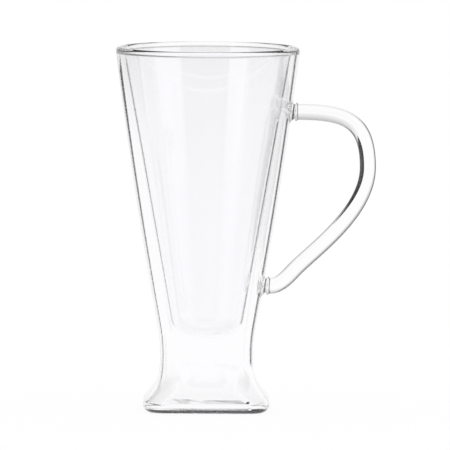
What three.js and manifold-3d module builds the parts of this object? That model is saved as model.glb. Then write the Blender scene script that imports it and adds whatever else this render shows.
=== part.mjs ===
// Clear double-walled latte mug. A conical cup hangs by its rim inside a conical jacket, with
// still air between the two walls. Below the cup the jacket narrows to a waist and flares into
// a hollow square foot. A bent glass rod is welded to one side as the handle.
// Millimetres, +Z up. The origin is the centre of the flat underside and the handle is on +X.

import * as THREE from "three";
import { mergeVertices } from "three/addons/utils/BufferGeometryUtils.js";
import Module from "manifold-3d";

const degrees = THREE.MathUtils.degToRad;

// Overall size and glass
const HEIGHT = 166.5;
const RIM_RADIUS = 42;
const JACKET_WALL = 1.55;
const CUP_WALL = 1.2;
const SEAM_GAP = 0.3; // open seam between pieces that are fused or pressed together

// Rim bead
const RIM_WIDTH = 4.5; // across its underside
const RIM_DEPTH = 2.8;
const RIM_CROWN = 1.4; // height of the rounded top

// Inner cup
const CUP_FLOOR = 33.5; // height of the inside
const CUP_DOME_RADIUS = 28.3; // of the floor's inside
const CUP_CORNER_RADIUS = 7.5; // of the inside, between floor and cone
const AIR_GAP = 4.6; // between cup and jacket, at the lower end of the jacket's cone

// Jacket, measured on its outside
const CONE_BOW = 0.85; // outward swell at mid height
const CONE_END_RADIUS = 23;
const CONE_END_HEIGHT = 41;
const WAIST_RADIUS = 21.3;
const WAIST_HEIGHT = 24;
const FLARE_ANGLE = degrees(38); // from the vertical, where the flare reaches the foot

// Foot
const FOOT_WIDTH = 57.8;
const FOOT_CORNER_RADIUS = 10.6;
const FOOT_EDGE_RADIUS = 4.4;
const FOOT_SHOULDER_RADIUS = 1;
const BASE_THICKNESS = 2.8;

// Vent hole in the base, and its plug
const VENT_RADIUS = 1;
const VENT_INSET_X = 4.6; // from the right edge of the base to the hole
const VENT_INSET_Y = 18.2; // from the front edge of the base to the hole
const PLUG_HEAD_RADIUS = 1.3;
const PLUG_HEAD_HEIGHT = 1.2;
const PLUG_RECESS = 0.4; // how far its lower end stops short of the underside

// Handle
const ROD_RADIUS = 3.7;
const HANDLE_STANDOFF = 31.5; // from the rim to the outermost point of the rod's centre line
const HANDLE_DROP = 25.4; // from the upper weld down to that point
const UPPER_WELD_DROP = 29.65; // from the top of the rim
const UPPER_WELD_LENGTH = 2.9;
const LOWER_WELD_HEIGHT = 57;
const LOWER_WELD_LENGTH = 2.8;
const LOWER_WELD_TILT = degrees(-2); // rise of the rod as it leaves the lower weld
const KNEE_OUT = 12.5; // from the rod's lower end to the bend above it
const KNEE_UP = 8.6;
const KNEE_TILT = degrees(44.7);
const WELD_BEAD = 0.5; // how far the bead next to the rod stands proud of it
const WELD_SPREAD = 2.1; // how far the glass spreads beyond the rod on the wall

// Fullness of the curves, as a share of the distance that each one spans
const BLEND_PULL = 0.4;
const FLARE_WAIST_PULL = 0.52;
const FLARE_FOOT_PULL = 0.44;
const HANDLE_TOP_PULL = 0.7;
const HANDLE_SHOULDER_PULL = 0.85;
const HANDLE_SIDE_PULL = 0.43;
const HANDLE_RETURN_PULL = 0.41;
const KNEE_PULL = 0.32;
const LOWER_END_PULL = 0.34;
const SQUARING = 1.6; // power with which the flare turns from round to square

// Facets
const CORNER_STEPS = 14; // in each quarter of a jacket ring
const ROUND_STEPS = 4 * CORNER_STEPS;
const ARC_STEPS = 8;
const CONE_STEPS = 6;
const BLEND_STEPS = 3;
const FLARE_STEPS = 7;
const SHOULDER_STEPS = 2;
const EDGE_STEPS = 4;
const ROD_SIDES = 16;
const ROD_STEPS = 44;
const BEZIER_STEPS = 24;
const SMALL_STEPS = 20;

// Levels and radii that several pieces share
const rimUnderside = HEIGHT - RIM_DEPTH;
const wallTop = rimUnderside - SEAM_GAP;
const footHalf = FOOT_WIDTH / 2;
const flatHalf = footHalf - FOOT_CORNER_RADIUS; // half the straight side of the square foot
const skirtEnd = footHalf - FOOT_EDGE_RADIUS; // half the opening that the base closes

const upperWeldHeight = HEIGHT - UPPER_WELD_DROP;
const mouthRadius = RIM_RADIUS - RIM_WIDTH; // inside the cup, at the underside of the rim bead
const cupEndRadius = CONE_END_RADIUS - JACKET_WALL - AIR_GAP - CUP_WALL;
const cupTaper = Math.atan2(mouthRadius - cupEndRadius, rimUnderside - CONE_END_HEIGHT);

const v2 = (x, y) => new THREE.Vector2(x, y);
const cupRadius = (z) => mouthRadius - (rimUnderside - z) * Math.tan(cupTaper);

const wasm = await Module();
wasm.setup();

// A closed surface of revolution about Z
function turned(profile, steps) {
  return new THREE.LatheGeometry(profile, steps).rotateX(Math.PI / 2);
}

function arc(centre, radius, start, end, steps) {
  const curve = new THREE.EllipseCurve(centre.x, centre.y, radius, radius, start, end, end < start);
  return curve.getPoints(steps);
}

// A point of a jacket line with its outward normal. side is half the straight side of the ring
// there: 0 on round rings, flatHalf on the foot.
function sample(curve, t, side) {
  const along = curve.getTangent(t);
  return { at: curve.getPoint(t), normal: v2(-along.y, along.x), side };
}

// Points along a curve, without its start
function run(curve, steps, sideAt) {
  return Array.from({ length: steps }, (_, i) => {
    const t = (i + 1) / steps;
    return sample(curve, t, sideAt(t));
  });
}

const round = () => 0;
const square = () => flatHalf;
const squaring = (t) => flatHalf * t ** SQUARING;

function clockwise(centre, radius, start, end) {
  return new THREE.EllipseCurve(centre.x, centre.y, radius, radius, start, end, true);
}

// The jacket's outer and inner lines, from the rim down to the base
function jacketLines() {
  const top = v2(RIM_RADIUS, wallTop);
  const coneEnd = v2(CONE_END_RADIUS, CONE_END_HEIGHT);
  const belly = top.clone().lerp(coneEnd, 0.5).add(v2(2 * CONE_BOW, 0));
  const cone = new THREE.QuadraticBezierCurve(top, belly, coneEnd);

  const waist = v2(WAIST_RADIUS, WAIST_HEIGHT);
  const blendPull = BLEND_PULL * coneEnd.distanceTo(waist);
  const leave = coneEnd.clone().sub(belly).setLength(blendPull).add(coneEnd);
  const blend = new THREE.CubicBezierCurve(coneEnd, leave, v2(waist.x, waist.y + blendPull), waist);

  const shoulderCentre = v2(footHalf - FOOT_SHOULDER_RADIUS, FOOT_EDGE_RADIUS);
  const flareNormal = v2(Math.cos(FLARE_ANGLE), Math.sin(FLARE_ANGLE));
  const flareEnd = shoulderCentre.clone().addScaledVector(flareNormal, FOOT_SHOULDER_RADIUS);
  const span = waist.distanceTo(flareEnd);
  const arrive = v2(-flareNormal.y, flareNormal.x).multiplyScalar(FLARE_FOOT_PULL * span).add(flareEnd);
  const depart = v2(waist.x, waist.y - FLARE_WAIST_PULL * span);
  const flare = new THREE.CubicBezierCurve(waist, depart, arrive, flareEnd);

  const shoulder = clockwise(shoulderCentre, FOOT_SHOULDER_RADIUS, FLARE_ANGLE, 0);
  const edge = clockwise(v2(skirtEnd, FOOT_EDGE_RADIUS), FOOT_EDGE_RADIUS, 0, -Math.PI / 2);

  const wall = [
    sample(cone, 0, 0),
    ...run(cone, CONE_STEPS, round),
    ...run(blend, BLEND_STEPS, round),
    ...run(flare, FLARE_STEPS, squaring),
  ];
  const outside = [...wall, ...run(shoulder, SHOULDER_STEPS, square), ...run(edge, EDGE_STEPS, square)];

  const inside = wall.map(({ at, normal, side }) => {
    const inner = at.clone().addScaledVector(normal, -JACKET_WALL);
    return { at: v2(inner.x, Math.min(inner.y, wallTop)), side };
  });
  // The hollow's lower corner leads from the flare into a floor that is level with the base
  const flareInside = inside[inside.length - 1].at;
  const cornerRadius = (flareInside.y - BASE_THICKNESS) / (1 + flareNormal.y);
  const cornerCentre = flareInside.clone().addScaledVector(flareNormal, -cornerRadius);
  const corner = clockwise(cornerCentre, cornerRadius, FLARE_ANGLE, -Math.PI / 2);
  inside.push(...run(corner, EDGE_STEPS, square), { at: v2(skirtEnd, BASE_THICKNESS), side: flatHalf });
  return { outside, inside };
}

// One ring of a wall: quarter arcs whose centres lie side away from the axis in X and Y
function ring(radius, side, z) {
  return Array.from({ length: ROUND_STEPS }, (_, i) => {
    const angle = ((i + 0.5) / ROUND_STEPS) * 2 * Math.PI;
    const x = Math.sign(Math.cos(angle)) * side + (radius - side) * Math.cos(angle);
    const y = Math.sign(Math.sin(angle)) * side + (radius - side) * Math.sin(angle);
    return [x, y, z];
  });
}

// A skin through rings that run down the outside: it closes on the first ring, or ends in two lids
function skin(rings, endless) {
  const count = rings.length;
  const points = rings.flat();
  const faces = [];
  for (let i = 0; i < (endless ? count : count - 1); i++) {
    for (let j = 0; j < ROUND_STEPS; j++) {
      const next = (j + 1) % ROUND_STEPS;
      const upper = i * ROUND_STEPS;
      const lower = ((i + 1) % count) * ROUND_STEPS;
      faces.push(upper + j, lower + j, lower + next);
      faces.push(upper + j, lower + next, upper + next);
    }
  }
  if (!endless) {
    const last = (count - 1) * ROUND_STEPS;
    const topHub = points.push([0, 0, rings[0][0][2]]) - 1;
    const bottomHub = points.push([0, 0, rings[count - 1][0][2]]) - 1;
    for (let j = 0; j < ROUND_STEPS; j++) {
      const next = (j + 1) % ROUND_STEPS;
      faces.push(topHub, j, next, bottomHub, last + next, last + j);
    }
  }
  const geometry = new THREE.BufferGeometry();
  geometry.setAttribute("position", new THREE.Float32BufferAttribute(points.flat(), 3));
  geometry.setIndex(faces);
  return geometry;
}

function solid(geometry) {
  const bare = geometry.clone();
  bare.deleteAttribute("normal");
  bare.deleteAttribute("uv");
  const merged = mergeVertices(bare);
  return new wasm.Manifold(new wasm.Mesh({
    numProp: 3,
    vertProperties: new Float32Array(merged.attributes.position.array),
    triVerts: new Uint32Array(merged.index.array),
  }));
}

function cut(geometry, tool) {
  const mesh = solid(geometry).subtract(solid(tool)).getMesh();
  const result = new THREE.BufferGeometry();
  result.setAttribute("position", new THREE.BufferAttribute(mesh.vertProperties, 3));
  result.setIndex(new THREE.BufferAttribute(mesh.triVerts, 1));
  return result;
}

const jacket = jacketLines();

function outerJacket() {
  const line = [...jacket.outside, ...jacket.inside.toReversed()];
  return skin(line.map(({ at, side }) => ring(at.x, side, at.y)), true);
}

// The space that the jacket fills, widened by the seam, which cuts the welds to the wall's shape
function jacketSpace() {
  return skin(jacket.outside.map(({ at, side }) => ring(at.x + SEAM_GAP, side, at.y)), false);
}

function wallRadius(z) {
  const below = jacket.outside.findIndex(({ at }) => at.y <= z);
  const [high, low] = [jacket.outside[below - 1].at, jacket.outside[below].at];
  return THREE.MathUtils.mapLinear(z, low.y, high.y, low.x, high.x);
}

// The floor is a shallow dome, and a rounded corner leads from it into the cone. A ball that
// touches both floor and cone is the flattest corner and the steepest dome that fit.
function innerCup() {
  const ball = (cupRadius(CUP_FLOOR) * Math.cos(cupTaper)) / (1 - Math.sin(cupTaper));
  const dome = Math.max(CUP_DOME_RADIUS, ball);
  const corner = Math.min(CUP_CORNER_RADIUS, ball);
  const domeCentre = v2(0, CUP_FLOOR + dome);
  const across = cupRadius(domeCentre.y) * Math.cos(cupTaper) - corner;
  const down = Math.sqrt(Math.max(0, (dome - corner) ** 2 - across ** 2));
  const cornerCentre = v2(across, -down).rotateAround(v2(0, 0), -cupTaper).add(domeCentre);
  const meet = cornerCentre.clone().sub(domeCentre).angle() - 2 * Math.PI;
  const line = (offset) => [
    v2(0, CUP_FLOOR - offset),
    ...arc(domeCentre, dome + offset, -Math.PI / 2, meet, ARC_STEPS).slice(1),
    ...arc(cornerCentre, corner + offset, meet, -cupTaper, ARC_STEPS).slice(1),
    v2(cupRadius(wallTop) + offset / Math.cos(cupTaper), wallTop),
  ];
  return turned([...line(CUP_WALL), ...line(0).reverse()], ROUND_STEPS);
}

function rimBead() {
  const crownFoot = HEIGHT - RIM_CROWN;
  const inner = cupRadius(crownFoot);
  const half = (RIM_RADIUS - inner) / 2;
  const crown = new THREE.EllipseCurve(inner + half, crownFoot, half, RIM_CROWN, 0, Math.PI);
  const start = v2(mouthRadius, rimUnderside);
  return turned([start, v2(RIM_RADIUS, rimUnderside), ...crown.getPoints(ARC_STEPS), start], ROUND_STEPS);
}

// The base fills the opening at the end of the jacket's skirt
const baseHalf = skirtEnd - SEAM_GAP;
const vent = v2(baseHalf - VENT_INSET_X, VENT_INSET_Y - baseHalf);

function footBase() {
  const corner = baseHalf - flatHalf;
  const outline = new THREE.Shape();
  for (let quarter = 0; quarter < 4; quarter++) {
    const start = (quarter * Math.PI) / 2;
    const x = flatHalf * Math.sign(Math.cos(start + Math.PI / 4));
    const y = flatHalf * Math.sign(Math.sin(start + Math.PI / 4));
    outline.absarc(x, y, corner, start, start + Math.PI / 2);
  }
  outline.holes.push(new THREE.Path().absarc(vent.x, vent.y, VENT_RADIUS, 0, 2 * Math.PI, true));
  return new THREE.ExtrudeGeometry(outline, {
    depth: BASE_THICKNESS, bevelEnabled: false, curveSegments: ARC_STEPS / 2,
  });
}

function ventPlug() {
  const shank = VENT_RADIUS - SEAM_GAP;
  const seat = BASE_THICKNESS + SEAM_GAP;
  const dome = new THREE.EllipseCurve(0, seat, PLUG_HEAD_RADIUS, PLUG_HEAD_HEIGHT, 0, Math.PI / 2);
  return turned([
    v2(0, PLUG_RECESS), v2(shank, PLUG_RECESS), v2(shank, seat), ...dome.getPoints(ARC_STEPS),
  ], SMALL_STEPS);
}

const inPlane = (x, z) => new THREE.Vector3(x, 0, z);
const upperDirection = inPlane(1, 0);
const upperSeat = inPlane(wallRadius(upperWeldHeight), upperWeldHeight);
const lowerDirection = inPlane(Math.cos(LOWER_WELD_TILT), Math.sin(LOWER_WELD_TILT));
const lowerSeat = inPlane(wallRadius(LOWER_WELD_HEIGHT), LOWER_WELD_HEIGHT);

// Out of the upper weld, round the outermost point, down to the knee and into the lower weld
function handleRoute() {
  const start = upperSeat.clone().addScaledVector(upperDirection, UPPER_WELD_LENGTH);
  const outermost = inPlane(RIM_RADIUS + HANDLE_STANDOFF, upperWeldHeight - HANDLE_DROP);
  const end = lowerSeat.clone().addScaledVector(lowerDirection, LOWER_WELD_LENGTH);
  const knee = inPlane(end.x + KNEE_OUT, end.z + KNEE_UP);
  const slope = inPlane(Math.cos(KNEE_TILT), Math.sin(KNEE_TILT));
  const kneeSpan = knee.distanceTo(end);
  const bends = [
    new THREE.CubicBezierCurve3(
      start,
      inPlane(start.x + HANDLE_TOP_PULL * (outermost.x - start.x), start.z),
      inPlane(outermost.x, outermost.z + HANDLE_SHOULDER_PULL * (start.z - outermost.z)),
      outermost,
    ),
    new THREE.CubicBezierCurve3(
      outermost,
      inPlane(outermost.x, outermost.z - HANDLE_SIDE_PULL * (outermost.z - knee.z)),
      knee.clone().addScaledVector(slope, HANDLE_RETURN_PULL * (outermost.x - knee.x)),
      knee,
    ),
    new THREE.CubicBezierCurve3(
      knee,
      knee.clone().addScaledVector(slope, -KNEE_PULL * kneeSpan),
      end.clone().addScaledVector(lowerDirection, LOWER_END_PULL * kneeSpan),
      end,
    ),
  ];
  const points = bends.flatMap((bend, i) => bend.getPoints(BEZIER_STEPS).slice(i === 0 ? 0 : 1));
  return new THREE.CatmullRomCurve3(points);
}

function handleRod() {
  const section = new THREE.Shape().absarc(0, 0, ROD_RADIUS, 0, 2 * Math.PI);
  return new THREE.ExtrudeGeometry(section, {
    steps: ROD_STEPS, curveSegments: ROD_SIDES / 2, bevelEnabled: false, extrudePath: handleRoute(),
  });
}

// A gather of glass between rod and wall: a bead at the rod that spreads out on the wall
function handleWeld(seat, direction, length) {
  const face = length - SEAM_GAP;
  const bead = ROD_RADIUS + WELD_BEAD;
  const foot = ROD_RADIUS + WELD_SPREAD;
  const sunk = -2 * foot; // well inside the wall, before the wall's shape is cut away
  const spread = new THREE.QuadraticBezierCurve(v2(foot, 0), v2(bead, 0), v2(bead, face - WELD_BEAD));
  const profile = [
    v2(0, sunk), v2(foot, sunk), ...spread.getPoints(ARC_STEPS), v2(ROD_RADIUS, face), v2(0, face),
  ];
  const turn = new THREE.Quaternion().setFromUnitVectors(new THREE.Vector3(0, 1, 0), direction);
  const place = new THREE.Matrix4().compose(seat, turn, new THREE.Vector3(1, 1, 1));
  const gather = new THREE.LatheGeometry(profile, SMALL_STEPS).applyMatrix4(place);
  return cut(gather, jacketSpace());
}

const CLEAR_GLASS = { color: 0xf3f4f7, roughness: 0.03, metalness: 0, transparent: true, opacity: 0.35 };
const DARK_SILICONE = { color: 0x26262a, roughness: 0.55, metalness: 0 };

const mug = new THREE.Group();

function add(name, geometry, finish) {
  const mesh = new THREE.Mesh(geometry, new THREE.MeshStandardMaterial(finish));
  mesh.name = name;
  mug.add(mesh);
  return mesh;
}

add("inner_cup", innerCup(), CLEAR_GLASS);
add("outer_jacket", outerJacket(), CLEAR_GLASS);
add("rim_bead", rimBead(), CLEAR_GLASS);
add("foot_base", footBase(), CLEAR_GLASS);
add("vent_plug", ventPlug(), DARK_SILICONE).position.set(vent.x, vent.y, 0);
add("handle_rod", handleRod(), CLEAR_GLASS);
add("upper_handle_weld", handleWeld(upperSeat, upperDirection, UPPER_WELD_LENGTH), CLEAR_GLASS);
add("lower_handle_weld", handleWeld(lowerSeat, lowerDirection, LOWER_WELD_LENGTH), CLEAR_GLASS);

export default mug;
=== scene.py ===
"""Looks of the double-walled glass mug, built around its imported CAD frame.

Metres, +Z up. The origin is the centre of the flat underside and the handle is on +X.
Every glass piece is closed. The faces where two pieces are fused have a material of their own
that lets light straight through, so the glass reads as one body and stays separate pieces.
"""

import math

import bmesh
import bpy
from bpy.props import FloatProperty, FloatVectorProperty, PointerProperty
from mathutils import Matrix, Vector
from mathutils.bvhtree import BVHTree


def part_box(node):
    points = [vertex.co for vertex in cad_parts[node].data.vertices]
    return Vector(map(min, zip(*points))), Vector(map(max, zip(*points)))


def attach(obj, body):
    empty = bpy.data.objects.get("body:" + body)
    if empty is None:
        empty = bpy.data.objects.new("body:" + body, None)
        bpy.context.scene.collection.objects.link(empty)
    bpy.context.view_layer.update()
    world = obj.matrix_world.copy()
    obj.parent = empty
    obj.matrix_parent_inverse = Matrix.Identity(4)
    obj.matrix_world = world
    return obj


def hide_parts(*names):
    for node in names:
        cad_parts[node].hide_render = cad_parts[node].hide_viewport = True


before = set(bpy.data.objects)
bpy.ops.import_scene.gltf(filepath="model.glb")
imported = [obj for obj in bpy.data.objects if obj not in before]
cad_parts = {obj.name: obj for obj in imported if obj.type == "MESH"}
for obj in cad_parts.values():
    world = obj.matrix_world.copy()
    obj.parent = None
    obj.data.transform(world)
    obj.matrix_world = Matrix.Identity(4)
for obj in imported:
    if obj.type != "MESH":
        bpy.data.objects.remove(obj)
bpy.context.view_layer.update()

bl_info = {
    "name": "Double-walled glass mug",
    "version": (1, 0, 0),
    "blender": (4, 5, 0),
    "location": "3D View > Sidebar > Mug",
    "description": "Builds a tall double-walled glass mug and its studio around a CAD frame",
    "category": "Object",
}

MM = 0.001
BODY = "root"
IMAGE_WIDTH = 450
SENSOR_WIDTH = 36.0

WHITE = (1.0, 1.0, 1.0, 1.0)

# Distances in metres below which two levels count as the same, in general and on the welds
NEAR = 1e-6
NEAR_ON_WELD = 1e-7

# Facets
ROUND_STEPS = 144
CONE_STEPS = 24
BLEND_STEPS = 10
FLARE_STEPS = 28
SHOULDER_STEPS = 10
EDGE_STEPS = 16
DOME_STEPS = 18
CORNER_STEPS = 22
RIM_STEPS = 28
WEB_STEPS = 12
ROD_SIDES = 120
BEND_STEPS = 150
ROD_END_STEPS = 4
WELD_SIDES = 72
BEAD_STEPS = 12
SPREAD_STEPS = 14
SOLE_STEPS = 6
SMALL_STEPS = 48
TENT_STEPS = 24

LIGHT_BOUNCES = 96

# Painted shade: glass seen along its surface is darkened in its colour, for the dark lines that
# real glass shows where it bends its surroundings into view. Facing of the skin, from 0 to 1,
# where that painted edge shade begins and where it is full
WALL_EDGE_SHADE = (0.84, 1.0)
SKIN_EDGE_SHADE = (0.7, 1.0)
ROD_EDGE_SHADE = (0.27, 0.62)

# How steeply the skin faces up or down where that painted edge shade starts to fade and where it
# has faded, then what is left of the shade at the two
LEVEL_FADE = (0.5, 1.0, 1.0, 0.15)

# Faint streaks in the glass and slow waves in its skin, both drawn out in height
DRAWN_OUT = (1.0, 1.0, 0.3)
STREAK_SCALE = 55.0
RIPPLE_SCALE = 38.0
RIPPLE_STRENGTH = 0.04
RIPPLE_DEPTH = 1.0 * MM

# Levels of the dark line of painted shade along the foot's lower edge, on the jacket's outer side
GROUND_SHADE_LOW = 0.5 * MM
GROUND_SHADE_HIGH = 1.9 * MM
GROUND_SHADE_SOFT = 0.3 * MM

# Pale bloom and matt grain of the plug's silicone
BLOOM_SCALE = 900.0
BLOOM_SPAN = (0.45, 0.75)
GRAIN_SCALE = 6000.0
GRAIN_STRENGTH = 0.15
GRAIN_DEPTH = 0.05 * MM
PLUG_ROUGHNESS = 0.45
BLOOM_ROUGHNESS = 0.2

# Pulls of the jacket's curves, as shares of the spans that they cross, and how late in the
# flare the round wall turns square
NECK_PULL = 0.4
WAIST_PULL = 0.52
FOOT_PULL = 0.44
SQUARE_POWER = 1.6

# Pulls of the rod's bends, as shares of the spans that they cross, from the upper weld down
TOP_PULL = 0.7
OUTER_PULL = 0.85
SIDE_PULL = 0.43
RETURN_PULL = 0.41
KNEE_PULL = 0.32
END_PULL = 0.34

# A cubic curve goes this far towards two handles that stand level
CURVE_REACH = 0.75

# Pulls of the glass that spreads from a weld's neck: down the neck, then out and up at the wall
SPREAD_DOWN = 0.4
SPREAD_OUT = 0.5
SPREAD_UP = 0.1

PLUG_CLEARANCE = 0.02 * MM
PLUG_FLANGE = 0.3 * MM
PLUG_CHAMFER = 0.2 * MM
PLUG_CREASE = math.radians(40)


def length(label, millimetres, description):
    """A length that the user may change, with its default given in millimetres."""
    return FloatProperty(
        name=label, description=description, default=millimetres * MM,
        min=0.0, precision=4, unit="LENGTH",
    )


def angle(label, degrees, description):
    """An angle that the user may change, with its default given in degrees."""
    return FloatProperty(
        name=label, description=description, default=math.radians(degrees), unit="ROTATION",
    )


def share(label, value, description):
    """A plain number that the user may change."""
    return FloatProperty(name=label, description=description, default=value, precision=3)


def colour(label, value, description):
    """A colour that the user may change, in linear light."""
    return FloatVectorProperty(
        name=label, description=description, default=value, subtype="COLOR",
        size=3, min=0.0, max=1.0,
    )


def spot(label, millimetres, description):
    """A place that the user may change, with its default given in millimetres."""
    return FloatVectorProperty(
        name=label, description=description, default=[value * MM for value in millimetres],
        subtype="TRANSLATION", size=3,
    )


RIM_LOW, RIM_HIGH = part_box("rim_bead")
PLUG_LOW, PLUG_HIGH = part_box("vent_plug")
CUP_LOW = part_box("inner_cup")[0]
BASE_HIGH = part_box("foot_base")[1]
ROD_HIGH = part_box("handle_rod")[1]


class MugBodySizes(bpy.types.PropertyGroup):
    """Sizes of the cup, the jacket, the rim and the foot."""

    height: length("Height", RIM_HIGH.z / MM, "Top of the rim above the table")
    rim_radius: length("Rim radius", RIM_HIGH.x / MM, "Outside radius of the rim")
    rim_underside: length("Rim underside", RIM_LOW.z / MM, "Level where the walls meet the rim")
    rim_width: length("Rim width", 4.5, "Width of the rim bead across its underside")
    rim_crown: length("Rim crown", 1.4, "Height of the rim's rounded top")
    jacket_wall: length("Jacket wall", 1.55, "Thickness of the outer wall")
    cup_wall: length("Cup wall", 1.2, "Thickness of the inner wall")
    cup_low: length("Cup underside", CUP_LOW.z / MM, "Lowest point of the cup")
    cup_dome: length("Cup dome", 28.3, "Inside radius of the cup's domed floor")
    cup_corner: length("Cup corner", 7.5, "Inside radius between the floor and the cone")
    air_gap: length("Air gap", 4.6, "Between the walls at the lower end of the cone")
    cone_bow: length("Cone bow", 0.85, "Outward swell of the jacket at mid height")
    cone_end_radius: length("Cone end radius", 23.0, "Jacket radius at the cone's lower end")
    cone_end_height: length("Cone end height", 41.0, "Level of the cone's lower end")
    waist_radius: length("Waist radius", 21.3, "Jacket radius at the waist")
    waist_height: length("Waist height", 24.0, "Level of the waist")
    flare_angle: angle("Flare angle", 38.0, "Angle of the flare where it reaches the foot")
    foot_width: length("Foot width", 57.8, "Side of the square foot")
    foot_corner: length("Foot corner", 10.6, "Corner radius of the square foot, from above")
    foot_edge: length("Foot edge", 4.4, "Radius of the foot's lower edge")
    foot_shoulder: length("Foot shoulder", 1.0, "Radius of the foot's upper edge")
    hollow_corner: length("Hollow corner", 0.35, "Radius where the hollow's wall meets its floor")
    base_thickness: length("Base thickness", BASE_HIGH.z / MM, "Thickness of the foot's bottom")
    vent_radius: length("Vent radius", 1.0, "Radius of the vent hole in the base")
    plug_head: length("Plug head", 1.3, "Radius of the plug's head")


class MugHandleSizes(bpy.types.PropertyGroup):
    """Sizes of the handle rod and of its two welds."""

    rod_radius: length("Rod radius", ROD_HIGH.y / MM, "Radius of the handle rod")
    upper_weld_height: length("Upper weld height", 136.85, "Level of the rod's upper end")
    upper_weld_length: length("Upper weld length", 2.9, "From the wall to the rod's upper end")
    lower_weld_height: length("Lower weld height", 57.0, "Level where the lower end meets the wall")
    lower_weld_length: length("Lower weld length", 2.8, "From the wall to the rod's lower end")
    lower_weld_tilt: angle("Lower weld tilt", -2.0, "Rise of the rod as it leaves the lower weld")
    handle_drop: length("Handle drop", 25.4, "From the upper weld down to the outermost point")
    knee_out: length("Knee out", 12.5, "From the lower end out to the bend above it")
    knee_up: length("Knee up", 8.6, "From the lower end up to the bend above it")
    knee_tilt: angle("Knee tilt", 44.7, "Slope of the rod at that bend")
    weld_bead: length("Weld bead", 0.56, "How far the bead at the rod stands proud")
    weld_bead_width: length("Weld bead width", 1.2, "Of that bead, along the rod")
    weld_spread: length("Weld spread", 2.1, "How far the glass spreads on the wall")
    rod_rounding: length("Rod rounding", 0.3, "Rounding of the rod's ends at the welds")


class MugFinish(bpy.types.PropertyGroup):
    """Colours of the glass, of the shade painted on its edges and of the plug."""

    glass: colour("Glass", (0.994, 0.9925, 0.999), "Clear colourless glass")
    streak: colour("Glass streak", (0.99, 0.9885, 0.997), "Faint streaks in the glass")
    # Painted shade: the three edge colours darken the glass where it is seen along its surface, and
    # the ground colour paints a dark line of shade along the foot's lower edge
    edge: colour("Glass edge", (0.8, 0.8, 0.85), "Glass seen along its surface")
    skin_edge_shade: colour("Skin edge", (0.4, 0.4, 0.45), "Outside of the jacket seen along it")
    rod_edge_shade: colour("Rod edge", (0.002, 0.002, 0.003), "Rod glass seen along its surface")
    ground_shade: colour("Ground edge", (0.012, 0.012, 0.014), "Lower edge of the foot")
    plug: colour("Plug", (0.02, 0.02, 0.022), "Moulded silicone of the vent plug")
    plug_worn: colour("Plug bloom", (0.06, 0.06, 0.064), "Paler bloom on the silicone")
    ior: share("Refractive index", 1.47, "Refractive index of the glass")


class MugStudio(bpy.types.PropertyGroup):
    """Camera, floor, black cards and gauze."""

    camera_distance: length("Camera distance", 6000.0, "From the mug's axis to the camera")
    camera_height: length("Camera height", 550.4, "Of the camera above the table")
    camera_side: length("Camera side", 8.2, "Of the camera to the right of the mug's axis")
    camera_pitch: angle("Camera pitch", 4.4378, "Of the camera below the horizontal")
    camera_roll: angle("Camera roll", 0.27, "Of the camera about its line of sight")
    focal_pixels: share("Focal length in pixels", 13134.0, "For an image 450 pixels wide")
    floor_radius: length("Floor radius", 600.0, "Of the pale floor under the mug")
    floor: colour("Floor", (0.9, 0.9, 0.9), "Plain pale floor")
    flag_width: length("Flag width", 85.0, "Of the black card behind the handle, to its right")
    flag_height: length("Flag height", 87.0, "Of the card behind the handle")
    flag_place: spot("Flag place", (134.5, 60.0, 91.5), "Middle of the card behind the handle")
    card_width: length("Card width", 54.0, "Of the black card behind the mug, to its left")
    card_height: length("Card height", 148.0, "Of the card on the left")
    card_place: spot("Card place", (-82.0, 82.0, 74.0), "Middle of the card on the left")
    card_heading: angle("Card heading", 135.3, "Of the card on the left, from the handle's side")
    tent_radius: length("Tent radius", 300.0, "Of the gauze sheets round the set")


class Wire:
    """An output in a node tree. Arithmetic on it adds Math nodes to the tree."""

    def __init__(self, tree, output=None):
        self.tree = tree
        self.output = output

    def node(self, kind, settings, inputs, output=0):
        """Adds a node, sets it up, then fills its sockets with values or links."""
        made = self.tree.nodes.new(kind)
        for key, value in settings.items():
            setattr(made, key, value)
        for key, value in inputs.items():
            if isinstance(value, Wire):
                self.tree.links.new(value.output, made.inputs[key])
            else:
                made.inputs[key].default_value = value
        return Wire(self.tree, made.outputs[output]) if len(made.outputs) else None

    def math(self, operation, *values):
        return self.node("ShaderNodeMath", {"operation": operation}, dict(enumerate(values)))

    def __add__(self, other):
        return self.math("ADD", self, other)

    __radd__ = __add__

    def __sub__(self, other):
        return self.math("SUBTRACT", self, other)

    def __rsub__(self, other):
        return self.math("SUBTRACT", other, self)

    def __mul__(self, other):
        return self.math("MULTIPLY", self, other)

    __rmul__ = __mul__

    def __truediv__(self, other):
        return self.math("DIVIDE", self, other)

    def ramp(self, low, high, start=0.0, end=1.0):
        """A smooth step from start to end as the value goes from low to high."""
        return self.node(
            "ShaderNodeMapRange", {"interpolation_type": "SMOOTHSTEP"},
            {"Value": self, "From Min": low, "From Max": high, "To Min": start, "To Max": end},
        )

    def vector(self, operation, *values, output=0):
        return self.node(
            "ShaderNodeVectorMath", {"operation": operation}, dict(enumerate(values)), output
        )

    def blend(self, factor, first, second):
        """A colour between two colours."""
        return self.node(
            "ShaderNodeMix", {"data_type": "RGBA"}, {0: factor, 6: first, 7: second}, 2
        )


def between(value, low, high, soft):
    """A mask that is 1 from low to high, with soft ends."""
    return value.ramp(low - soft, low) * value.ramp(high, high + soft, 1.0, 0.0)


def opaque(rgb):
    return (rgb[0], rgb[1], rgb[2], 1.0)


def new_material(name):
    material = bpy.data.materials.new(name)
    material.use_nodes = True
    material.node_tree.nodes.clear()
    return material, Wire(material.node_tree)


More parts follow.
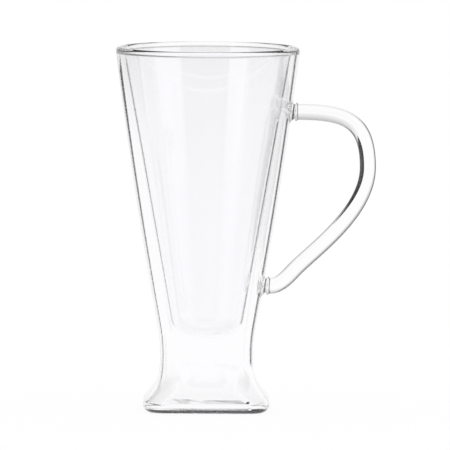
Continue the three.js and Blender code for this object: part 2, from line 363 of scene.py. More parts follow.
def clear_glass(name, edge, edge_span, ripples=RIPPLE_STRENGTH, ground_shade=None, fused_welds=()):
    """Fire-polished clear glass with faint streaks, and a painted grey edge shade where it is seen
    along.

    edge is the colour of that painted edge shade, and edge_span the Facing where it begins and
    where it is full. It fades where the skin faces up or down. ripples is the strength of the slow
    waves in the skin. ground_shade is the colour of a dark line of painted shade along the foot's
    lower edge, seen from outside, and the levels between which it shows. Each of fused_welds is a
    point, a direction and a radius.
    The skin inside that radius is covered by a weld and lets light straight through.
    """
    finish = bpy.context.scene.mug_finish
    material, wire = new_material(name)
    place = wire.node("ShaderNodeTexCoord", {}, {}, "Object")
    drawn_out = wire.node("ShaderNodeMapping", {}, {"Vector": place, "Scale": DRAWN_OUT})
    streaks = wire.node(
        "ShaderNodeTexNoise", {},
        {"Vector": drawn_out, "Scale": STREAK_SCALE, "Detail": 2.0}, "Fac",
    )
    ripple = wire.node(
        "ShaderNodeTexNoise", {},
        {"Vector": drawn_out, "Scale": RIPPLE_SCALE, "Detail": 1.0}, "Fac",
    )
    relief = wire.node(
        "ShaderNodeBump", {},
        {"Strength": ripples, "Distance": RIPPLE_DEPTH, "Height": ripple},
    )
    # Painted shade: the colour darkens where the glass is seen along its surface, less where the
    # skin faces up or down
    facing = wire.node("ShaderNodeLayerWeight", {}, {"Blend": 0.5}, "Facing")
    body = wire.blend(streaks, opaque(finish.glass), opaque(finish.streak))
    geometry = wire.node("ShaderNodeNewGeometry", {}, {}).output.node.outputs
    normal = Wire(wire.tree, geometry["Normal"])
    steep = wire.math("ABSOLUTE", wire.node("ShaderNodeSeparateXYZ", {}, {"Vector": normal}, "Z"))
    along = facing.ramp(*edge_span) * steep.ramp(*LEVEL_FADE)
    tint_and_painted_shade = wire.blend(along, body, opaque(edge))
    # Painted shade: a dark line on the foot's lower edge, seen from outside only
    if ground_shade:
        tone, low, high = ground_shade
        level = wire.node("ShaderNodeSeparateXYZ", {}, {"Vector": place}, "Z")
        outside = 1.0 - Wire(wire.tree, geometry["Backfacing"])
        tint_and_painted_shade = wire.blend(outside * between(level, low, high, GROUND_SHADE_SOFT), tint_and_painted_shade, opaque(tone))
    sockets = {
        "Base Color": tint_and_painted_shade,
        "Roughness": 0.0,
        "IOR": finish.ior,
        "Transmission Weight": 1.0,
        "Normal": relief,
    }
    bare = None
    for seat, direction, radius in fused_welds:
        away = wire.vector("SUBTRACT", place, seat)
        across = wire.vector("CROSS_PRODUCT", away, direction)
        distance = wire.vector("LENGTH", across, output="Value")
        side = wire.vector("DOT_PRODUCT", place, direction, output="Value")
        covered = wire.math("LESS_THAN", distance, radius) * wire.math("GREATER_THAN", side, 0.0)
        bare = 1.0 - covered if bare is None else bare * (1.0 - covered)
    if bare is not None:
        sockets["Alpha"] = bare
    shader = wire.node("ShaderNodeBsdfPrincipled", {}, sockets)
    wire.node("ShaderNodeOutputMaterial", {}, {"Surface": shader})
    return material


def fused_seam():
    """The inside of a fused joint: light goes straight through."""
    material, wire = new_material("fused_seam")
    finish = bpy.context.scene.mug_finish
    shader = wire.node(
        "ShaderNodeBsdfPrincipled", {},
        {"Base Color": opaque(finish.glass), "Roughness": 0.0, "IOR": finish.ior, "Alpha": 0.0},
    )
    wire.node("ShaderNodeOutputMaterial", {}, {"Surface": shader})
    return material


def matt_silicone():
    """Moulded silicone: nearly black, with a pale bloom and a fine matt grain."""
    finish = bpy.context.scene.mug_finish
    material, wire = new_material("matt_silicone")
    place = wire.node("ShaderNodeTexCoord", {}, {}, "Object")
    bloom = wire.node(
        "ShaderNodeTexNoise", {}, {"Vector": place, "Scale": BLOOM_SCALE, "Detail": 3.0}, "Fac"
    )
    grain = wire.node("ShaderNodeTexNoise", {}, {"Vector": place, "Scale": GRAIN_SCALE}, "Fac")
    relief = wire.node(
        "ShaderNodeBump", {},
        {"Strength": GRAIN_STRENGTH, "Distance": GRAIN_DEPTH, "Height": grain},
    )
    tone = wire.blend(bloom.ramp(*BLOOM_SPAN), opaque(finish.plug), opaque(finish.plug_worn))
    shader = wire.node("ShaderNodeBsdfPrincipled", {}, {
        "Base Color": tone,
        "Roughness": bloom * BLOOM_ROUGHNESS + PLUG_ROUGHNESS,
        "Normal": relief,
    })
    wire.node("ShaderNodeOutputMaterial", {}, {"Surface": shader})
    return material


def shared_material(name, maker):
    return bpy.data.materials.get(name) or maker()


def glass_material():
    # Ordinary glass, with its painted grey edge shade
    edge = bpy.context.scene.mug_finish.edge
    return shared_material("polished_glass", lambda: clear_glass("polished_glass", edge, WALL_EDGE_SHADE))


def seam_material():
    return shared_material("fused_seam", fused_seam)


# Material slots of a glass piece: its glass, its fused faces and its outer side
GLASS, SEAM, SKIN = range(3)


def point(x, z):
    return Vector((x, 0.0, z))


def arc(centre, radius, start, end, steps, flatten=1.0):
    """Points of an arc in the XZ plane. flatten scales its height."""
    swings = [start + (end - start) * i / steps for i in range(steps + 1)]
    return [
        centre + point(radius * math.cos(swing), flatten * radius * math.sin(swing))
        for swing in swings
    ]


def bezier(a, b, c, d, steps):
    """Points of a cubic curve, with the direction of the curve at each."""
    run = []
    for i in range(steps + 1):
        t = i / steps
        s = 1.0 - t
        at = a * s**3 + 3 * b * t * s**2 + 3 * c * t**2 * s + d * t**3
        along = (b - a) * s**2 + 2 * (c - b) * t * s + (d - c) * t**2
        run.append((at, along.normalized()))
    return run


def outward(along):
    return point(-along.z, along.x)


def draw(bm, points, closed):
    """Vertices joined by edges, to be turned or spun."""
    verts = [bm.verts.new(at) for at in points]
    for first, second in zip(verts, verts[1:]):
        bm.edges.new((first, second))
    if closed:
        bm.edges.new((verts[-1], verts[0]))
    return verts


def turn(bm, steps):
    """Turns what has been drawn into a closed body of revolution about Z."""
    bmesh.ops.rotate(
        bm, verts=bm.verts[:], cent=Vector(), matrix=Matrix.Rotation(math.pi / steps, 3, "Z")
    )
    bmesh.ops.spin(
        bm, geom=bm.verts[:] + bm.edges[:], cent=Vector(), axis=Vector((0, 0, 1)),
        angle=2 * math.pi, steps=steps, use_merge=True,
    )
    bmesh.ops.remove_doubles(bm, verts=bm.verts[:], dist=NEAR)
    bmesh.ops.recalc_face_normals(bm, faces=bm.faces[:])


def sharpen_seams(bm):
    """Smooth shading that stops where the material changes between glass and seam."""
    for face in bm.faces:
        face.smooth = True
    for edge in bm.edges:
        kinds = {face.material_index == SEAM for face in edge.link_faces}
        edge.smooth = len(kinds) < 2


def finish_piece(bm, name, materials, node):
    """Makes the object of a piece, hides the CAD node that it stands for and hangs the piece on the
    body.
    """
    mesh = bpy.data.meshes.new(name)
    bm.to_mesh(mesh)
    bm.free()
    for material in materials:
        mesh.materials.append(material)
    piece = bpy.data.objects.new(name, mesh)
    bpy.context.scene.collection.objects.link(piece)
    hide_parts(node)
    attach(piece, BODY)


def glass_piece(bm, name, node, body=None, skin=None):
    """A closed piece with its fused faces. body is its glass, and skin that of its outer side."""
    sharpen_seams(bm)
    body = body or glass_material()
    finish_piece(bm, name, [body, seam_material(), skin or body], node)


def skirt_end(body):
    """Half the opening in the underside of the jacket, which the base closes."""
    return body.foot_width / 2 - body.foot_edge


def cup_line(body):
    """Mouth radius inside the cup, and the taper of its cone."""
    mouth = body.rim_radius - body.rim_width
    end = body.cone_end_radius - body.jacket_wall - body.air_gap - body.cup_wall
    taper = math.atan2(mouth - end, body.rim_underside - body.cone_end_height)
    return mouth, taper


def jacket_lines(body):
    """The jacket's outer and inner lines from rim to base: points with their squareness."""
    top = point(body.rim_radius, body.rim_underside)
    cone_end = point(body.cone_end_radius, body.cone_end_height)
    belly = top.lerp(cone_end, 0.5) + point(2 * body.cone_bow, 0.0)
    cone = bezier(top, top.lerp(belly, 2 / 3), cone_end.lerp(belly, 2 / 3), cone_end, CONE_STEPS)

    waist = point(body.waist_radius, body.waist_height)
    pull = NECK_PULL * (cone_end - waist).length
    leave = cone_end + (cone_end - belly).normalized() * pull
    neck = bezier(cone_end, leave, waist + point(0.0, pull), waist, BLEND_STEPS)

    half = body.foot_width / 2
    shoulder_centre = point(half - body.foot_shoulder, body.foot_edge)
    lean = body.flare_angle
    flare_normal = point(math.cos(lean), math.sin(lean))
    flare_end = shoulder_centre + flare_normal * body.foot_shoulder
    span = (waist - flare_end).length
    arrive = flare_end + FOOT_PULL * span * point(-flare_normal.z, flare_normal.x)
    flare = bezier(waist, waist - point(0.0, WAIST_PULL * span), arrive, flare_end, FLARE_STEPS)

    wall = [(at, along, 0.0) for at, along in cone + neck[1:]]
    for i in range(1, FLARE_STEPS + 1):
        wall.append((*flare[i], (i / FLARE_STEPS) ** SQUARE_POWER))
    outer = [(at, squareness) for at, along, squareness in wall]
    inner = [
        (at - outward(along) * body.jacket_wall, squareness) for at, along, squareness in wall
    ]
    inner[0][0].z = body.rim_underside

    edge_centre = point(skirt_end(body), body.foot_edge)
    outer += square_arc(shoulder_centre, body.foot_shoulder, lean, 0.0, SHOULDER_STEPS)
    outer += square_arc(edge_centre, body.foot_edge, 0.0, -math.pi / 2, EDGE_STEPS)

    flare_inside = inner[-1][0]
    corner = body.hollow_corner
    ease = (flare_inside.z - body.base_thickness - corner) / flare_normal.z
    ease_centre = flare_inside - flare_normal * ease
    inner += square_arc(ease_centre, ease, lean, 0.0, SHOULDER_STEPS)
    corner_centre = inner[-1][0] - point(corner, 0.0)
    inner += square_arc(corner_centre, corner, 0.0, -math.pi / 2, SHOULDER_STEPS)
    inner.append((point(skirt_end(body), body.base_thickness), 1.0))
    return outer, inner


def square_arc(centre, radius, start, end, steps):
    """Points of an arc on the square foot, without its start."""
    return [(at, 1.0) for at in arc(centre, radius, start, end, steps)[1:]]


def weld_places(scene):
    """Seat on the wall, direction and length of the upper and the lower weld."""
    handle = scene.mug_handle
    line = [at for at, squareness in jacket_lines(scene.mug_body)[0]]
    places = []
    for height, tilt, reach in (
        (handle.upper_weld_height, 0.0, handle.upper_weld_length),
        (handle.lower_weld_height, handle.lower_weld_tilt, handle.lower_weld_length),
    ):
        above, below = next(
            (high, low) for high, low in zip(line, line[1:]) if high.z >= height > low.z
        )
        seat = below.lerp(above, (height - below.z) / (above.z - below.z))
        places.append((seat, point(math.cos(tilt), math.sin(tilt)), reach))
    return places


class MUG_OT_outer_jacket(bpy.types.Operator):
    """Build the outer wall: a turned cone and waist whose foot is drawn out to a square"""

    bl_idname = "mug.outer_jacket"
    bl_label = "Outer jacket"

    def execute(self, context):
        scene = context.scene
        body = scene.mug_body
        flat = body.foot_width / 2 - body.foot_corner
        bm = bmesh.new()
        square = bm.verts.layers.float.new("squareness")
        walls = []
        for line in jacket_lines(body):
            verts = draw(bm, [at for at, squareness in line], closed=False)
            for vert, (at, squareness) in zip(verts, line):
                vert[square] = squareness
            walls.append(verts)
        for end in (0, -1):
            bm.edges.new((walls[0][end], walls[1][end]))
        turn(bm, ROUND_STEPS)
        top = body.rim_underside - NEAR
        mid_base = body.base_thickness / 2
        for face in bm.faces:
            centre = face.calc_center_median()
            across = Vector((centre.x, centre.y, 0.0)).normalized()
            upright = abs(face.normal.z) < 0.1
            if centre.z > top or (upright and abs(centre.z - mid_base) < NEAR):
                face.material_index = SEAM
            elif face.normal.dot(across) > 0.0:
                face.material_index = SKIN
        for vert in bm.verts:
            side = flat * vert[square]
            radius = vert.co.xy.length
            vert.co.x += math.copysign(side, vert.co.x) - side * vert.co.x / radius
            vert.co.y += math.copysign(side, vert.co.y) - side * vert.co.y / radius
        spread = scene.mug_handle.rod_radius + scene.mug_handle.weld_spread
        welds = [(seat, direction, spread) for seat, direction, reach in weld_places(scene)]
        finish = scene.mug_finish
        # The skin's painted shade: a darker edge where it is seen along, and the dark line along
        # the foot's lower edge
        ground_shade = (finish.ground_shade, GROUND_SHADE_LOW, GROUND_SHADE_HIGH)
        skin = clear_glass(
            "jacket_skin", finish.skin_edge_shade, SKIN_EDGE_SHADE, ground_shade=ground_shade, fused_welds=welds
        )
        glass_piece(bm, "jacket", "outer_jacket", skin=skin)
        return {"FINISHED"}


class MUG_OT_inner_cup(bpy.types.Operator):
    """Build the inner cup: a turned cone with a round bottom"""

    bl_idname = "mug.inner_cup"
    bl_label = "Inner cup"

    def execute(self, context):
        body = context.scene.mug_body
        mouth, taper = cup_line(body)
        floor = body.cup_low + body.cup_wall
        dome = body.cup_dome
        corner = body.cup_corner
        top = body.rim_underside
        dome_centre = point(0.0, floor + dome)
        level_radius = mouth - (top - dome_centre.z) * math.tan(taper)
        across = level_radius * math.cos(taper) - corner
        down = math.sqrt((dome - corner) ** 2 - across**2)
        to_corner = point(
            across * math.cos(taper) - down * math.sin(taper),
            -across * math.sin(taper) - down * math.cos(taper),
        )
        meet = math.atan2(to_corner.z, to_corner.x)
        lines = []
        for offset in (body.cup_wall, 0.0):
            bowl = arc(dome_centre, dome + offset, -math.pi / 2, meet, DOME_STEPS)[1:]
            bowl += arc(dome_centre + to_corner, corner + offset, meet, -taper, CORNER_STEPS)[1:]
            lip = point(mouth + offset / math.cos(taper), top)
            cone = [bowl[-1].lerp(lip, i / CONE_STEPS) for i in range(1, CONE_STEPS + 1)]
            lines.append([point(0.0, floor - offset), *bowl, *cone])
        outside, inside = lines
        bm = bmesh.new()
        draw(bm, outside + inside[::-1], closed=False)
        turn(bm, ROUND_STEPS)
        for face in bm.faces:
            if face.calc_center_median().z > top - NEAR:
                face.material_index = SEAM
        glass_piece(bm, "cup", "inner_cup")
        return {"FINISHED"}


class MUG_OT_rim_bead(bpy.types.Operator):
    """Build the fire-polished rim that joins the two walls"""

    bl_idname = "mug.rim_bead"
    bl_label = "Rim bead"

    def execute(self, context):
        body = context.scene.mug_body
        mouth, taper = cup_line(body)
        low = body.rim_underside
        crown_foot = body.height - body.rim_crown
        crown_mouth = mouth + (crown_foot - low) * math.tan(taper)
        half = (body.rim_radius - crown_mouth) / 2
        crown = arc(
            point(crown_mouth + half, crown_foot), half, 0.0, math.pi, RIM_STEPS,
            flatten=body.rim_crown / half,
        )
        cup_outside = mouth + body.cup_wall / math.cos(taper)
        jacket_inside = body.rim_radius - body.jacket_wall
        web_radius = (jacket_inside - cup_outside) / 2
        web = arc(
            point(cup_outside + web_radius, low), web_radius, math.pi, 0.0, WEB_STEPS
        )
        bm = bmesh.new()
        draw(bm, [
            point(mouth, low), *web, point(body.rim_radius, low), *crown,
        ], closed=True)
        turn(bm, ROUND_STEPS)
        for face in bm.faces:
            if all(abs(vert.co.z - low) < NEAR for vert in face.verts):
                face.material_index = SEAM
        glass_piece(bm, "rim", "rim_bead")
        return {"FINISHED"}


class MUG_OT_foot_base(bpy.types.Operator):
    """Build the flat bottom of the foot with its vent hole"""

    bl_idname = "mug.foot_base"
    bl_label = "Foot base"

    def execute(self, context):
        body = context.scene.mug_body
        half = skirt_end(body)
        corner = half - (body.foot_width / 2 - body.foot_corner)
        vent = (PLUG_LOW + PLUG_HIGH) / 2
        bm = bmesh.new()
        bmesh.ops.create_grid(bm, x_segments=1, y_segments=1, size=half)
        bmesh.ops.bevel(
            bm, geom=bm.verts[:], offset=corner, segments=ROUND_STEPS // 4, profile=0.5,
            affect="VERTICES", material=-1,
        )
        bmesh.ops.delete(bm, geom=bm.faces[:], context="FACES_ONLY")
        bmesh.ops.create_circle(
            bm, segments=SMALL_STEPS, radius=body.vent_radius,
            matrix=Matrix.Translation((vent.x, vent.y, 0.0)),
        )
        bmesh.ops.triangle_fill(bm, edges=bm.edges[:], use_beauty=True)
        grown = bmesh.ops.extrude_face_region(bm, geom=bm.faces[:])["geom"]
        lifted = [item for item in grown if isinstance(item, bmesh.types.BMVert)]
        bmesh.ops.translate(bm, verts=lifted, vec=Vector((0.0, 0.0, body.base_thickness)))
        bmesh.ops.recalc_face_normals(bm, faces=bm.faces[:])
        bm.normal_update()
        for face in bm.faces:
            upright = abs(face.normal.z) < 0.5
            from_vent = (face.calc_center_median().xy - vent.xy).length
            if upright and from_vent > 2 * body.vent_radius:
                face.material_index = SEAM
        edge = context.scene.mug_finish.edge
        plate = clear_glass("plate_glass", edge, WALL_EDGE_SHADE, ripples=0.0)
        glass_piece(bm, "base", "foot_base", body=plate)
        return {"FINISHED"}


class MUG_OT_vent_plug(bpy.types.Operator):
    """Build the moulded plug that stops the vent hole"""

    bl_idname = "mug.vent_plug"
    bl_label = "Vent plug"

    def execute(self, context):
        body = context.scene.mug_body
        shank = body.vent_radius - PLUG_CLEARANCE
        seat = body.base_thickness + PLUG_CLEARANCE
        head = seat + PLUG_FLANGE
        dome = arc(
            point(0.0, head), body.plug_head, 0.0, math.pi / 2, EDGE_STEPS,
            flatten=(PLUG_HIGH.z - head) / body.plug_head,
        )
        bm = bmesh.new()
        draw(bm, [
            point(0.0, PLUG_LOW.z), point(shank - PLUG_CHAMFER, PLUG_LOW.z),
            point(shank, PLUG_LOW.z + PLUG_CHAMFER), point(shank, seat),
            point(body.plug_head, seat), *dome,
        ], closed=False)
        turn(bm, SMALL_STEPS)
        centre = (PLUG_LOW + PLUG_HIGH) / 2
        bmesh.ops.translate(bm, verts=bm.verts[:], vec=Vector((centre.x, centre.y, 0.0)))
        for face in bm.faces:
            face.smooth = True
        for edge in bm.edges:
            edge.smooth = edge.calc_face_angle(0.0) < PLUG_CREASE
        material = shared_material("matt_silicone", matt_silicone)
        finish_piece(bm, "plug", [material], "vent_plug")
        return {"FINISHED"}


def rod_route(scene):
    """Points of the rod's centre line from the upper to the lower weld, with directions."""
    handle = scene.mug_handle
    (top_seat, top_out, top_reach), (low_seat, low_out, low_reach) = weld_places(scene)
    start = top_seat + top_out * top_reach
    end = low_seat + low_out * low_reach
    outermost = point(ROD_HIGH.x - handle.rod_radius, start.z - handle.handle_drop)
    knee = end + point(handle.knee_out, handle.knee_up)
    slope = point(math.cos(handle.knee_tilt), math.sin(handle.knee_tilt))
    knee_span = (knee - end).length
    shoulder = bezier(
        start, start + point(TOP_PULL * (outermost.x - start.x), 0.0),
        outermost + point(0.0, OUTER_PULL * (start.z - outermost.z)), outermost, BEND_STEPS,
    )
    side = bezier(
        outermost, outermost - point(0.0, SIDE_PULL * (outermost.z - knee.z)),
        knee + slope * RETURN_PULL * (outermost.x - knee.x), knee, BEND_STEPS,
    )
    tail = bezier(
        knee, knee - slope * KNEE_PULL * knee_span, end + low_out * END_PULL * knee_span, end,
        BEND_STEPS // 2,
    )
    return shoulder + side[1:] + tail[1:]


def sweep(bm, ring, route):
    """Draws a ring of edges out along a route, and returns the ring at its end."""
    for (here, before), (there, after) in zip(route, route[1:]):
        grown = bmesh.ops.extrude_edge_only(bm, edges=ring)["geom"]
        moved = [item for item in grown if isinstance(item, bmesh.types.BMVert)]
        fresh = set(moved)
        ring = [
            item for item in grown
            if isinstance(item, bmesh.types.BMEdge) and fresh.issuperset(item.verts)
        ]
        turned = before.rotation_difference(after).to_matrix()
        bmesh.ops.rotate(bm, verts=moved, cent=here, matrix=turned)
        bmesh.ops.translate(bm, verts=moved, vec=there - here)
    return ring


class MUG_OT_handle_rod(bpy.types.Operator):
    """Build the handle: a solid glass rod, drawn along its bends"""

    bl_idname = "mug.handle_rod"
    bl_label = "Handle rod"

    def execute(self, context):
        handle = context.scene.mug_handle
        route = rod_route(context.scene)
        bm = bmesh.new()
        first, along = route[0]
        place = Matrix.Translation(first) @ along.to_track_quat("Z", "Y").to_matrix().to_4x4()
        bmesh.ops.create_circle(bm, segments=ROD_SIDES, radius=handle.rod_radius, matrix=place)
        first_ring = bm.edges[:]
        last_ring = sweep(bm, first_ring, route)
        caps = bmesh.ops.holes_fill(bm, edges=first_ring + last_ring)["faces"]
        bmesh.ops.recalc_face_normals(bm, faces=bm.faces[:])
        for cap in caps:
            cap.material_index = SEAM
        rims = [edge for cap in caps for edge in cap.edges]
        rounded = bmesh.ops.bevel(
            bm, geom=rims, offset=handle.rod_rounding, segments=ROD_END_STEPS, profile=0.5,
            affect="EDGES", material=GLASS,
        )
        for face in rounded["faces"]:
            face.material_index = GLASS
        # The rod's painted edge shade is near black: it paints the dark band along the rod's sides
        edge = context.scene.mug_finish.rod_edge_shade
        rod = clear_glass("rod_glass", edge, ROD_EDGE_SHADE, ripples=0.0)
        glass_piece(bm, "handle", "handle_rod", body=rod)
        return {"FINISHED"}


class MUG_OT_handle_welds(bpy.types.Operator):
    """Build the two gathers of glass that join the rod to the wall"""

    bl_idname = "mug.handle_welds"
    bl_label = "Handle welds"

    def execute(self, context):
        scene = context.scene
        handle = scene.mug_handle
        wall = BVHTree.FromObject(
            bpy.data.objects["jacket"], context.evaluated_depsgraph_get()
        )
        names = (("weld_upper", "upper_handle_weld"), ("weld_lower", "lower_handle_weld"))
        for (name, node), (seat, direction, reach) in zip(names, weld_places(scene)):
            self.build(wall, name, node, seat, direction, reach, handle)
        return {"FINISHED"}

    def build(self, wall, name, node, seat, direction, reach, handle):
        rod = handle.rod_radius
        face = rod - handle.rod_rounding
        foot = rod + handle.weld_spread
        neck = reach - handle.weld_bead_width
        below = (1.0 - CURVE_REACH) * handle.rod_rounding
        crest = rod + (handle.weld_bead + below) / CURVE_REACH
        bead = bezier(
            point(face, reach), point(crest, reach), point(crest, neck), point(face, neck),
            BEAD_STEPS,
        )
        spread = bezier(
            point(face, neck), point(face, SPREAD_DOWN * neck),
            point(rod + SPREAD_OUT * handle.weld_spread, SPREAD_UP * neck), point(foot, 0.0),
            SPREAD_STEPS,
        )
        sole = [point(foot * i / SOLE_STEPS, 0.0) for i in range(SOLE_STEPS - 1, -1, -1)]
        bm = bmesh.new()
        draw(bm, [
            point(0.0, reach), point(face / 2, reach),
            *[at for at, along in bead + spread[1:]], *sole,
        ], closed=False)
        turn(bm, WELD_SIDES)
        for patch in bm.faces:
            flat = all(abs(vert.co.z) < NEAR_ON_WELD for vert in patch.verts)
            top = all(vert.co.z > reach - NEAR_ON_WELD for vert in patch.verts)
            patch.material_index = SEAM if flat or top else GLASS
        height = {vert: vert.co.z for vert in bm.verts}
        stand = direction.to_track_quat("Z", "Y").to_matrix().to_4x4()
        bmesh.ops.transform(bm, matrix=Matrix.Translation(seat) @ stand, verts=bm.verts[:])
        clear = 4 * foot
        for vert in bm.verts:
            rise = height[vert]
            above = vert.co + direction * (clear - rise)
            hit = wall.ray_cast(above, -direction, 2 * clear)
            if hit[0] is None:
                raise RuntimeError("a weld misses the jacket's wall")
            sunk = clear - hit[3]
            vert.co += direction * (sunk * (1.0 - rise / reach))
        glass_piece(bm, name, node)


# Dark gap in the white set, where the edge of the right wall bends the view to. Its two sides are
# in degrees around from +Y towards +X, and its lower and upper end in degrees above the horizon.
GAP_SIDES = (24.5, 33.5)
GAP_ENDS = (-13.0, -3.0)
GAP_SIDE_SOFT = 1.5
GAP_END_SOFT = 3.0
GAP_DEPTH = 0.97

# Dimmer ceiling in front of the mug: degrees to either side of +Y where it begins and where it is
# full, degrees above the horizon in the same way, and the share of light that it takes
CEILING_SIDES = (85.0, 105.0)
CEILING_LEVELS = (35.0, 75.0)
CEILING_DEPTH = 0.5

# Shares of the floor's radius from the mug outwards, how white the camera sees the floor there, and
# how far the floor is below the base
FLOOR_FADE = (0.2, 0.8)
FLOOR_WHITE = (0.94, 1.0)
FLOOR_DROP = 0.05 * MM

# Black card with its fibre, and the threads of the gauze
CARD_TONES = ((0.004, 0.004, 0.004, 1.0), (0.008, 0.008, 0.008, 1.0))
CARD_FIBRE = 400.0
GAUZE_TONE = (0.01, 0.01, 0.01, 1.0)

# Black gauze round the set: lower and upper level in millimetres, and the density that is added
# on the way up from one to the other
GAUZES = {
    "front_gauze": ((60.0, 160.0, 0.22), (165.0, 245.0, 0.53)),
    "back_gauze": ((125.0, 180.0, 0.15), (165.0, 300.0, 0.22), (280.0, 620.0, 0.13)),
    "left_gauze": ((80.0, 150.0, 0.18), (150.0, 300.0, 0.4)),
}

# Sheets of it: start and end in degrees around from +Y towards +X, then lower and upper edge in
# millimetres. The two gaps between the front sheets show as bright strips on the rear walls.
SHEETS = (
    ("sheet_right", "front_gauze", (45.0, 91.0), (60.0, 420.0)),
    ("sheet_front", "front_gauze", (138.0, 213.0), (60.0, 420.0)),
    ("sheet_left", "front_gauze", (244.0, 315.0), (60.0, 420.0)),
    ("sheet_back", "back_gauze", (-88.0, 88.0), (125.0, 900.0)),
    ("sheet_back_left", "left_gauze", (-66.0, -12.0), (80.0, 900.0)),
)

# Kinds of ray that don't see a piece of the set
UNSEEN_FLOOR = ("transmission", "glossy")
UNSEEN_CARD = ("camera", "diffuse", "shadow")
UNSEEN_FLAG = (*UNSEEN_CARD, "glossy")


def studio_world(scene):
    """White for the camera. Glass sees a white set with a dark gap and a dimmer ceiling."""
    world = bpy.data.worlds.new("studio")
    scene.world = world
    world.use_nodes = True
    world.node_tree.nodes.clear()
    wire = Wire(world.node_tree)
    rays = wire.node("ShaderNodeLightPath", {}, {}).output.node.outputs
    through = wire.node("ShaderNodeTexCoord", {}, {}, "Generated")
    parts = wire.node("ShaderNodeSeparateXYZ", {}, {"Vector": through}).output.node.outputs
    x, y, z = (Wire(world.node_tree, parts[key]) for key in ("X", "Y", "Z"))
    degree = 180.0 / math.pi
    around = wire.math("ARCTAN2", x, y) * degree
    up = wire.math("ARCSINE", z) * degree

    in_front = wire.math("ABSOLUTE", around).ramp(*CEILING_SIDES)
    ceiling = CEILING_DEPTH * in_front * up.ramp(*CEILING_LEVELS)
    gap = GAP_DEPTH * between(around, *GAP_SIDES, GAP_SIDE_SOFT)
    light = (1.0 - ceiling) * (1.0 - gap * between(up, *GAP_ENDS, GAP_END_SOFT))
    seen = wire.node(
        "ShaderNodeCombineColor", {"mode": "RGB"},
        {"Red": light, "Green": light, "Blue": light},
    )
    camera = Wire(world.node_tree, rays["Is Camera Ray"])
    glossy = Wire(world.node_tree, rays["Is Glossy Ray"])
    sent = Wire(world.node_tree, rays["Is Transmission Ray"])
    by_glass = wire.math("MAXIMUM", glossy, sent)
    bounced = 1.0 / scene.mug_studio.floor[0]
    plain = wire.blend(by_glass, (bounced, bounced, bounced, 1.0), seen)
    total = wire.blend(camera, plain, WHITE)
    shader = wire.node("ShaderNodeBackground", {}, {"Color": total, "Strength": 1.0})
    wire.node("ShaderNodeOutputWorld", {}, {"Surface": shader})


def floor_material(studio):
    """Pale matt floor. The camera sees it white, with a share of the mug's shadow."""
    material, wire = new_material("pale_floor")
    place = wire.node("ShaderNodeTexCoord", {}, {}, "Object")
    away = wire.vector("LENGTH", place, output="Value")
    camera = wire.node("ShaderNodeLightPath", {}, {}, "Is Camera Ray")
    near, far = (part * studio.floor_radius for part in FLOOR_FADE)
    fade = away.ramp(near, far, *FLOOR_WHITE)
    matt = wire.node("ShaderNodeBsdfDiffuse", {}, {"Color": opaque(studio.floor)})
    white = wire.node("ShaderNodeEmission", {}, {"Color": WHITE, "Strength": 1.0})
    mixed = wire.node("ShaderNodeMixShader", {}, {0: camera * fade, 1: matt, 2: white})
    wire.node("ShaderNodeOutputMaterial", {}, {"Surface": mixed})
    return material


def black_card():
    """Black card with a faint fibre."""
    material, wire = new_material("black_card")
    place = wire.node("ShaderNodeTexCoord", {}, {}, "Object")
    fibre = wire.node("ShaderNodeTexNoise", {}, {"Vector": place, "Scale": CARD_FIBRE}, "Fac")
    shader = wire.node("ShaderNodeBsdfPrincipled", {}, {
        "Base Color": wire.blend(fibre, *CARD_TONES),
        "Roughness": 1.0,
        "Specular IOR Level": 0.0,
    })
    wire.node("ShaderNodeOutputMaterial", {}, {"Surface": shader})
    return material


def black_gauze(name):
    """Black gauze that dims what shines through it, and gets denser upwards."""
    material, wire = new_material(name)
    place = wire.node("ShaderNodeTexCoord", {}, {}, "Object")
    level = wire.node("ShaderNodeSeparateXYZ", {}, {"Vector": place}, "Z") / MM
    dense = sum(level.ramp(low, high, 0.0, added) for low, high, added in GAUZES[name])
    clear = wire.node("ShaderNodeBsdfTransparent", {}, {})
    black = wire.node("ShaderNodeBsdfDiffuse", {}, {"Color": GAUZE_TONE})
    mixed = wire.node("ShaderNodeMixShader", {}, {0: dense, 1: clear, 2: black})
    wire.node("ShaderNodeOutputMaterial", {}, {"Surface": mixed})
    return material


def stage_piece(bm, name, material, unseen_by):
    """A piece of the set, out of sight of some kinds of ray."""
    mesh = bpy.data.meshes.new(name)
    bm.to_mesh(mesh)
    bm.free()
    mesh.materials.append(material)
    piece = bpy.data.objects.new(name, mesh)
    for ray in unseen_by:
        setattr(piece, "visible_" + ray, False)
    bpy.context.scene.collection.objects.link(piece)


def studio_floor(studio):
    """The round floor, just under the mug's base."""
    bm = bmesh.new()
    bmesh.ops.create_circle(
        bm, cap_ends=True, segments=ROUND_STEPS, radius=studio.floor_radius,
        matrix=Matrix.Translation((0.0, 0.0, -FLOOR_DROP)),
    )
    stage_piece(bm, "floor", floor_material(studio), UNSEEN_FLOOR)


def upright_card(name, width, height, place, heading, material, unseen_by):
    """A flat card that stands upright, turned about the vertical by its heading."""
    bm = bmesh.new()
    bmesh.ops.create_grid(bm, x_segments=1, y_segments=1, size=0.5)
    bmesh.ops.scale(bm, verts=bm.verts[:], vec=(width, height, 1.0))
    stand = (
        Matrix.Translation(place) @ Matrix.Rotation(heading, 4, "Z")
        @ Matrix.Rotation(math.pi / 2, 4, "X")
    )
    bmesh.ops.transform(bm, matrix=stand, verts=bm.verts[:])
    stage_piece(bm, name, material, unseen_by)


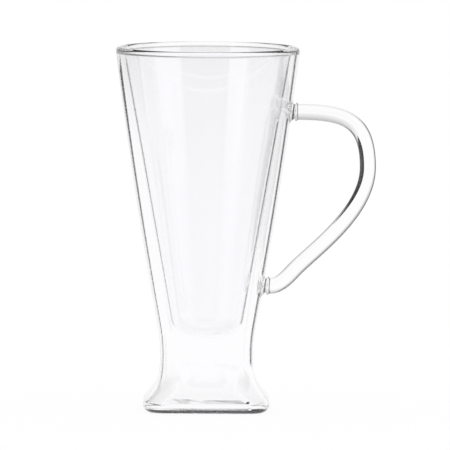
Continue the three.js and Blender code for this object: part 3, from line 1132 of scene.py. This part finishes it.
def gauze_sheets(studio):
    """The upright sheets of gauze, each part of a cylinder round the mug."""
    gauzes = {name: black_gauze(name) for name in GAUZES}
    for name, gauze, (start, end), (low, high) in SHEETS:
        bm = bmesh.new()
        turned = Matrix.Rotation(math.radians(-start), 3, "Z")
        foot = turned @ Vector((0.0, studio.tent_radius, low * MM))
        side = draw(bm, [foot, foot + point(0.0, (high - low) * MM)], closed=False)
        bmesh.ops.spin(
            bm, geom=side + bm.edges[:], cent=Vector(), axis=Vector((0, 0, 1)),
            angle=math.radians(start - end), steps=TENT_STEPS,
        )
        stage_piece(bm, name, gauzes[gauze], UNSEEN_CARD)


def studio_camera(scene):
    """The camera, placed and aimed as the photograph was taken."""
    studio = scene.mug_studio
    camera = bpy.data.cameras.new("camera")
    camera.sensor_width = SENSOR_WIDTH
    camera.lens = studio.focal_pixels / IMAGE_WIDTH * SENSOR_WIDTH
    eye = bpy.data.objects.new("camera", camera)
    eye.matrix_world = (
        Matrix.Translation((studio.camera_side, -studio.camera_distance, studio.camera_height))
        @ Matrix.Rotation(math.pi / 2 - studio.camera_pitch, 4, "X")
        @ Matrix.Rotation(studio.camera_roll, 4, "Z")
    )
    scene.collection.objects.link(eye)
    scene.camera = eye


class MUG_OT_studio(bpy.types.Operator):
    """Set up the floor, the cards, the light and the camera"""

    bl_idname = "mug.studio"
    bl_label = "Studio"

    def execute(self, context):
        scene = context.scene
        studio = scene.mug_studio
        scene.view_settings.view_transform = "Standard"
        studio_world(scene)
        studio_floor(studio)
        black = black_card()
        upright_card(
            "card", studio.card_width, studio.card_height, studio.card_place,
            studio.card_heading, black, UNSEEN_CARD,
        )
        upright_card(
            "flag", studio.flag_width, studio.flag_height, studio.flag_place,
            0.0, black, UNSEEN_FLAG,
        )
        gauze_sheets(studio)
        studio_camera(scene)
        scene.cycles.max_bounces = LIGHT_BOUNCES
        scene.cycles.transmission_bounces = LIGHT_BOUNCES
        scene.cycles.glossy_bounces = LIGHT_BOUNCES
        scene.cycles.transparent_max_bounces = LIGHT_BOUNCES
        return {"FINISHED"}


OPERATORS = (
    MUG_OT_outer_jacket,
    MUG_OT_inner_cup,
    MUG_OT_rim_bead,
    MUG_OT_foot_base,
    MUG_OT_vent_plug,
    MUG_OT_handle_rod,
    MUG_OT_handle_welds,
    MUG_OT_studio,
)


class MUG_PT_panel(bpy.types.Panel):
    """Sizes, colours and build steps of the mug"""

    bl_idname = "MUG_PT_panel"
    bl_label = "Glass mug"
    bl_space_type = "VIEW_3D"
    bl_region_type = "UI"
    bl_category = "Mug"

    def draw(self, context):
        scene = context.scene
        for group in (scene.mug_body, scene.mug_handle, scene.mug_finish, scene.mug_studio):
            box = self.layout.box()
            for key in group.bl_rna.properties.keys():
                if key not in {"rna_type", "name"}:
                    box.prop(group, key)
        for operator in OPERATORS:
            self.layout.operator(operator.bl_idname)


GROUPS = (
    ("mug_body", MugBodySizes),
    ("mug_handle", MugHandleSizes),
    ("mug_finish", MugFinish),
    ("mug_studio", MugStudio),
)


def register():
    for key, group in GROUPS:
        bpy.utils.register_class(group)
        setattr(bpy.types.Scene, key, PointerProperty(type=group))
    for kind in (*OPERATORS, MUG_PT_panel):
        bpy.utils.register_class(kind)


def unregister():
    for kind in reversed((*OPERATORS, MUG_PT_panel)):
        bpy.utils.unregister_class(kind)
    for key, group in reversed(GROUPS):
        delattr(bpy.types.Scene, key)
        bpy.utils.unregister_class(group)


def main():
    register()
    bpy.ops.mug.outer_jacket()
    bpy.ops.mug.inner_cup()
    bpy.ops.mug.rim_bead()
    bpy.ops.mug.foot_base()
    bpy.ops.mug.vent_plug()
    bpy.ops.mug.handle_rod()
    bpy.ops.mug.handle_welds()
    bpy.ops.mug.studio()


if __name__ == "__main__":
    main()
